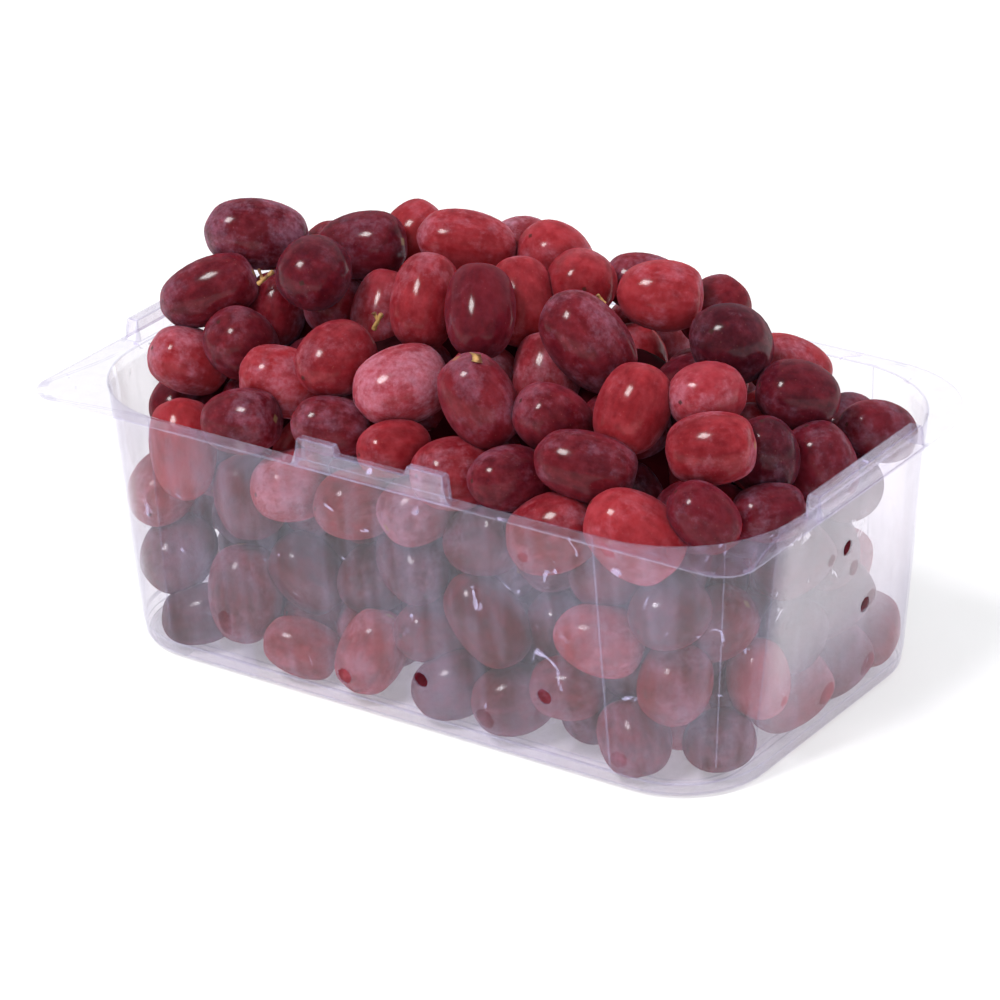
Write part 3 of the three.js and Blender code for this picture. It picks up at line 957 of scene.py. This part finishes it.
def add_grape(index):
    """A copy of a model, stretched, turned and placed, with its cage a little uneven."""
    model = grape_models[chance.integers(len(grape_models))]
    grape = model.copy()
    grape.data = model.data.copy()
    bpy.context.scene.collection.objects.link(grape)
    points = np.array([v.co for v in grape.data.vertices])
    streak = grape.data.attributes.new("grape_place", "FLOAT_VECTOR", "POINT")
    streak.data.foreach_set("vector", (points + chance.uniform(-PLACE_SPREAD, PLACE_SPREAD, 3)).ravel())
    points *= 1 + chance.normal(0, UNEVEN, (len(points), 1))
    half = np.array((widths[index] * chance.uniform(*WIDTH_SPREAD), widths[index], lengths[index])) / 2
    points *= half * MM
    turn = Vector(axes[index]).to_track_quat("Z", "Y").to_matrix()
    turn = turn @ Matrix.Rotation(chance.uniform(0, math.tau), 3, "Z")
    points = points @ np.array(turn).T + centres[index] * MM
    grape.data.vertices.foreach_set("co", points.ravel())
    for name, value in (("grape_shade", chance.uniform()),
                        ("grape_bloom", BLOOM[kinds[index]] * chance.uniform(*BLOOM_SPREAD))):
        numbers = grape.data.attributes.new(name, "FLOAT", "POINT")
        numbers.data.foreach_set("value", np.full(len(points), value))
    return grape


grape_pieces = {}
for kind, name in KINDS.items():
    grapes = [add_grape(i) for i in range(len(centres)) if kinds[i] == kind]
    deselect()
    for grape in grapes:
        grape.select_set(True)
    bpy.context.view_layer.objects.active = grapes[0]
    bpy.ops.object.join()
    piece = bpy.context.object
    piece.name = name
    apply_modifier(piece, "SUBSURF", levels=SMOOTH_LEVELS, render_levels=SMOOTH_LEVELS)
    bpy.ops.object.shade_smooth()
    grape_pieces[kind] = piece
    print(len(grapes), name)
    count_faces(piece)
for model in grape_models:
    bpy.data.objects.remove(model)

# %% [markdown]
# ## Grape skin
#
# The skin is thin, glossy and clear over a red flesh, with a dusty lavender bloom that rubs off in
# patches. Layers of pattern make it: slow clouds, a finer mottle and faint streaks from end to end turn
# the deep red into the light one, bloom with rubbed edges is thickest round the stem end, and pores dot
# the whole. Where there is bloom the skin is paler and duller. Light that soaks in and comes out red
# makes the skin glow. A thin clear coat gives the highlight. It fades where the skin turns away, as
# dust dulls it there, and a little sheen adds that dust.

# %% Skin material
PORE = (0.4, 0.16, 0.12, 1)
SCAR = (0.22, 0.11, 0.05, 1)
TIP = (0.03, 0.012, 0.008, 1)


def grape_skin(name, deep, light, bloom):
    material, start = new_material(name)

    def attribute(title, out="Fac"):
        return start.node("ShaderNodeAttribute", {"attribute_name": title}, None, out=out)

    def noise_at(vector, scale, detail, roughness=0.5):
        return start.node("ShaderNodeTexNoise", None, {
            "Vector": vector, "Scale": scale, "Detail": detail, "Roughness": roughness})

    place = start.node("ShaderNodeTexCoord", None, None, out="Object")
    own = attribute("grape_place", "Vector")
    along = start.node("ShaderNodeVectorMath", {"operation": "MULTIPLY"}, {0: own, 1: (1, 1, 0.22)})
    shade, dusty, end = attribute("grape_shade"), attribute("grape_bloom"), attribute("grape_end")
    clouds = noise_at(place, 80.0, 3.0)
    mottle = noise_at(place, 330.0, 4.0, 0.6)
    streaks = noise_at(along, 5.0, 3.0)
    tone = clouds * 0.7 + mottle * 0.9 + streaks * 0.6 + shade * 0.4 - 0.8
    flesh = tone.step(0.0, 1.0).tint(deep, light)
    patches = noise_at(place, 105.0, 5.0, 0.65)
    fine = noise_at(place, 900.0, 3.0, 0.6)
    near_stem = end.step(0.1, 0.9)
    film = (patches + dusty * 0.3 + near_stem * 0.14 + streaks * 0.14 - 0.25).step(0.42, 0.62)
    film = film * 0.85 + mottle.step(0.35, 0.7) * 0.14
    film = film * (fine.step(0.25, 0.75) * 0.7 + 0.42) * (dusty * 0.44 + 0.03)
    pores = start.node("ShaderNodeTexVoronoi", None, {"Vector": place, "Scale": 620.0})
    pore = (1 - pores.step(0.0, 0.16)) * 0.12
    skin = film.tint(flesh, bloom)
    skin = pore.tint(skin, PORE)
    scar = end.step(0.84, 0.92)
    skin = (scar * 0.85).tint(skin, SCAR)
    point = 1 - end.step(-0.96, -0.9)
    skin = (point * 0.8).tint(skin, TIP)
    dull = film * 0.5 + scar * 0.3 + 0.3
    edge = start.node("ShaderNodeLayerWeight", None, {"Blend": 0.5}, out="Facing")
    coat = 0.5 - edge.step(0.55, 0.95) * 0.42
    relief = start.node("ShaderNodeBump", None, {"Strength": 0.12, "Distance": 0.0004,
                                                "Height": fine * 0.4 + patches * 0.6})
    shader = start.node("ShaderNodeBsdfPrincipled", None, {
        "Base Color": skin, "Roughness": dull, "Normal": relief, "IOR": 1.4, "Specular IOR Level": 0.0,
        "Coat Weight": coat, "Coat Roughness": 0.15, "Coat IOR": 1.4,
        "Sheen Weight": 0.03, "Sheen Roughness": 0.5, "Sheen Tint": (0.75, 0.55, 0.8, 1),
        "Subsurface Weight": 0.8, "Subsurface Radius": (1.0, 0.12, 0.1), "Subsurface Scale": 0.007})
    finish_material(start, shader)
    return material


SKINS = {
    "r": grape_skin("skin_red", (0.12, 0.005, 0.008, 1), (0.27, 0.02, 0.026, 1), (0.6, 0.33, 0.46, 1)),
    "p": grape_skin("skin_pink", (0.12, 0.008, 0.012, 1), (0.26, 0.023, 0.033, 1), (0.62, 0.36, 0.49, 1)),
    "w": grape_skin("skin_wine", (0.05, 0.002, 0.005, 1), (0.15, 0.008, 0.013, 1), (0.4, 0.22, 0.34, 1)),
    "k": grape_skin("skin_dark", (0.03, 0.002, 0.005, 1), (0.105, 0.005, 0.01, 1), (0.34, 0.22, 0.34, 1)),
}
for kind, piece in grape_pieces.items():
    piece.data.materials.clear()
    piece.data.materials.append(SKINS[kind])
    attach(piece, "root")
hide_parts("grape_heap")

# %% [markdown]
# ## The core
#
# Deep in the heap nothing can be told apart, but without anything there the pale table would shine
# through the gaps. A lump stands for the innermost grapes, and its near-black red is partly their own
# dark colour and partly painted shade. It starts as a box, its top is drawn in to follow the heap,
# Subdivision Surface rounds it, and a cell texture lifts it into grape-sized lumps.

# %% Make the core
CORE_SIDE = Vector((25, 22)) * MM
CORE_BASE = 14 * MM
CORE_CROWN = 24 * MM
CORE_TAPER = (0.6, 0.4, 1)
LUMP_SIZE = 15 * MM
LUMP_HEIGHT = 4 * MM

core_low = Vector((heap_low.x + CORE_SIDE.x, heap_low.y + CORE_SIDE.y, heap_low.z + CORE_BASE))
core_high = Vector((heap_high.x - CORE_SIDE.x, heap_high.y - CORE_SIDE.y, heap_high.z - CORE_CROWN))
deselect()
bpy.ops.mesh.primitive_cube_add(size=1)
core = bpy.context.object
core.name = "grape_core"
bpy.ops.object.mode_set(mode="EDIT")
bpy.ops.transform.resize(value=core_high - core_low, center_override=(0, 0, 0))
bpy.ops.transform.translate(value=(core_low + core_high) / 2)
bpy.ops.mesh.subdivide(number_cuts=2)
pick("VERT", lambda p: p.z > core_high.z - 1 * MM)
bpy.ops.transform.resize(value=CORE_TAPER, center_override=(0, 0, 0))
bpy.ops.object.mode_set(mode="OBJECT")
apply_modifier(core, "SUBSURF", levels=3, render_levels=3)
lumps = bpy.data.textures.new("lumps", "VORONOI")
lumps.noise_scale = LUMP_SIZE
apply_modifier(core, "DISPLACE", texture=lumps, texture_coords="LOCAL", strength=-LUMP_HEIGHT,
               mid_level=0.5)
bpy.ops.object.shade_smooth()
depths = [depth_in_heap(v.co / MM) for v in core.data.vertices]
print("the core lies at least", round(min(depths), 1), "mm inside the heap")
count_faces(core)

# The core's near-black red is partly the grapes' own dark colour and partly painted shade.
core_shade_paint, start = new_material("core_painted_shade")
place = start.node("ShaderNodeTexCoord", None, None, out="Object")
cloud = start.node("ShaderNodeTexNoise", None, {"Vector": place, "Scale": 60.0, "Detail": 3.0})
tone = cloud.step(0.35, 0.65).tint((0.012, 0.001, 0.002, 1), (0.045, 0.002, 0.005, 1))
flesh = start.node("ShaderNodeBsdfPrincipled", None, {
    "Base Color": tone, "Roughness": cloud * 0.2 + 0.7, "Specular IOR Level": 0.05})
finish_material(start, flesh)
core.data.materials.append(core_shade_paint)
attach(core, "root")

# %% [markdown]
# ## Bits of stalk
#
# A few short bits of stalk are left, mostly where a grape was cut or pulled from the bunch: a thin neck
# with a warty knob that sat on the grape. One is drawn up from a small disc, ring by ring, and the rest
# are copies of it, each with its own place, lean, swing, length and width, in millimetres and degrees.

# %% Make the stalks
STALK_RINGS = ((0.12, 0.85), (0.25, 0.65), (0.42, 0.78), (0.6, 0.58),
               (0.76, 0.7), (0.88, 0.95), (0.96, 0.9), (1.0, 0.5))
STALK_BEND = 0.3
STALK_UNEVEN = 0.16
STALKS = (
    (-56.5, -19.5, 84.8, 35, 25, 5, 1.4),
    (-55.5, -19, 86, 100, 10, 2.6, 1.1),
    (-25.8, -17.4, 79.4, 60, 30, 4.6, 1.4),
    (-24.6, -16.8, 81.6, 115, 10, 2.4, 1.3),
    (16.8, -37.5, 88.4, 78, 5, 1.9, 3.3),
    (29.5, -6, 93.5, 130, 20, 3, 1.2),
)

deselect()
bpy.ops.mesh.primitive_circle_add(vertices=8, radius=0.5, fill_type="NGON")
stalk_model = bpy.context.object
stalk_model.name = "stalk_model"
bpy.ops.object.mode_set(mode="EDIT")
height, radius = 0.0, 1.0
for next_height, next_radius in STALK_RINGS:
    bpy.ops.mesh.extrude_region_move(TRANSFORM_OT_translate={"value": (0, 0, next_height - height)})
    bpy.ops.transform.translate(value=(STALK_BEND * (next_height ** 2 - height ** 2), 0, 0))
    grow = next_radius / radius
    centre = (STALK_BEND * next_height ** 2, 0, next_height)
    bpy.ops.transform.resize(value=(grow, grow, 1), center_override=centre)
    height, radius = next_height, next_radius
bpy.ops.mesh.select_all(action="SELECT")
bpy.ops.mesh.normals_make_consistent(inside=False)
bpy.ops.object.mode_set(mode="OBJECT")
count_faces(stalk_model)

stalks = []
for x, y, z, lean, swing, length, width in STALKS:
    stalk = stalk_model.copy()
    stalk.data = stalk_model.data.copy()
    bpy.context.scene.collection.objects.link(stalk)
    points = np.array([v.co for v in stalk.data.vertices])
    points[:, :2] *= 1 + chance.normal(0, STALK_UNEVEN, (len(points), 1))
    points *= np.array((width, width, length)) * MM
    turn = Vector(long_axis(lean, swing)).to_track_quat("Z", "Y").to_matrix()
    points = points @ np.array(turn).T + np.array((x, y, z)) * MM
    stalk.data.vertices.foreach_set("co", points.ravel())
    stalks.append(stalk)
bpy.data.objects.remove(stalk_model)
deselect()
for stalk in stalks:
    stalk.select_set(True)
bpy.context.view_layer.objects.active = stalks[0]
bpy.ops.object.join()
stalk_piece = bpy.context.object
stalk_piece.name = "grape_stalks"
apply_modifier(stalk_piece, "SUBSURF", levels=2, render_levels=2)
bpy.ops.object.shade_smooth()
count_faces(stalk_piece)

bark, start = new_material("dry_stalk")
place = start.node("ShaderNodeTexCoord", None, None, out="Object")
cloud = start.node("ShaderNodeTexNoise", None, {"Vector": place, "Scale": 420.0, "Detail": 4.0})
tone = cloud.step(0.38, 0.6).tint((0.13, 0.05, 0.02, 1), (0.42, 0.24, 0.08, 1))
relief = start.node("ShaderNodeBump", None, {"Strength": 0.4, "Distance": 0.0003, "Height": cloud})
woody = start.node("ShaderNodeBsdfPrincipled", None, {
    "Base Color": tone, "Roughness": 0.6, "Normal": relief})
finish_material(start, woody)
stalk_piece.data.materials.append(bark)
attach(stalk_piece, "root")

# %% [markdown]
# ## Table and light
#
# The table is plain and pale, and glows a little, as a lit studio table does. A soft lamp to the upper
# left makes the small highlight on each grape. A weaker one from the right lights the far side and a
# broad one in front lifts the grapes behind the wall. Neither of those two is mirrored in the skins or
# the sheet. A pale sky fills the shadows. The even sampling pattern keeps the noise behind the clear
# wall fine and regular.

# %% Table, sky and lamps
SKY_LIGHT = 0.5
TABLE_GLOW = 0.3
TABLE_SIZE = 6.0
LAMP_DISTANCE = 2.2

deselect()
bpy.ops.mesh.primitive_plane_add(size=TABLE_SIZE)
table = bpy.context.object
table.name = "table_top"
table_paint, start = new_material("table_paint")
paint = start.node("ShaderNodeBsdfDiffuse", None, {"Color": (0.7, 0.7, 0.7, 1)})
glow = start.node("ShaderNodeEmission", None, {"Color": (1, 1, 1, 1), "Strength": TABLE_GLOW})
finish_material(start, start.node("ShaderNodeAddShader", None, {0: paint, 1: glow}))
table.data.materials.append(table_paint)

sky = bpy.data.worlds.new("sky")
sky.use_nodes = True
sky.node_tree.nodes["Background"].inputs["Color"].default_value = (0.97, 0.985, 1.03, 1)
sky.node_tree.nodes["Background"].inputs["Strength"].default_value = SKY_LIGHT
bpy.context.scene.world = sky


def add_lamp(name, across, up, near, size, power):
    """A square soft lamp, placed by its direction as the camera sees it, and aimed at the heap."""
    lamp = bpy.data.lights.new(name, "AREA")
    lamp.size = size
    lamp.energy = power
    thing = bpy.data.objects.new(name, lamp)
    bpy.context.scene.collection.objects.link(thing)
    direction = (camera_turn @ Vector((across, up, near))).normalized()
    thing.matrix_world = (Matrix.Translation(AIM + direction * LAMP_DISTANCE)
                          @ direction.to_track_quat("Z", "Y").to_matrix().to_4x4())
    return thing


add_lamp("key_lamp", across=-0.44, up=0.55, near=0.69, size=0.55, power=40.0)
side_lamp = add_lamp("side_lamp", across=0.76, up=0.66, near=0.06, size=0.55, power=18.0)
front_fill = add_lamp("front_fill", across=0.1, up=-0.12, near=1.0, size=1.2, power=23.5)
for lamp in (side_lamp, front_fill):
    lamp.visible_glossy = False
view = bpy.context.scene.view_settings
view.view_transform = "Standard"
cycles = bpy.context.scene.cycles
cycles.transparent_max_bounces = 24
cycles.max_bounces = 8
cycles.sampling_pattern = "TABULATED_SOBOL"
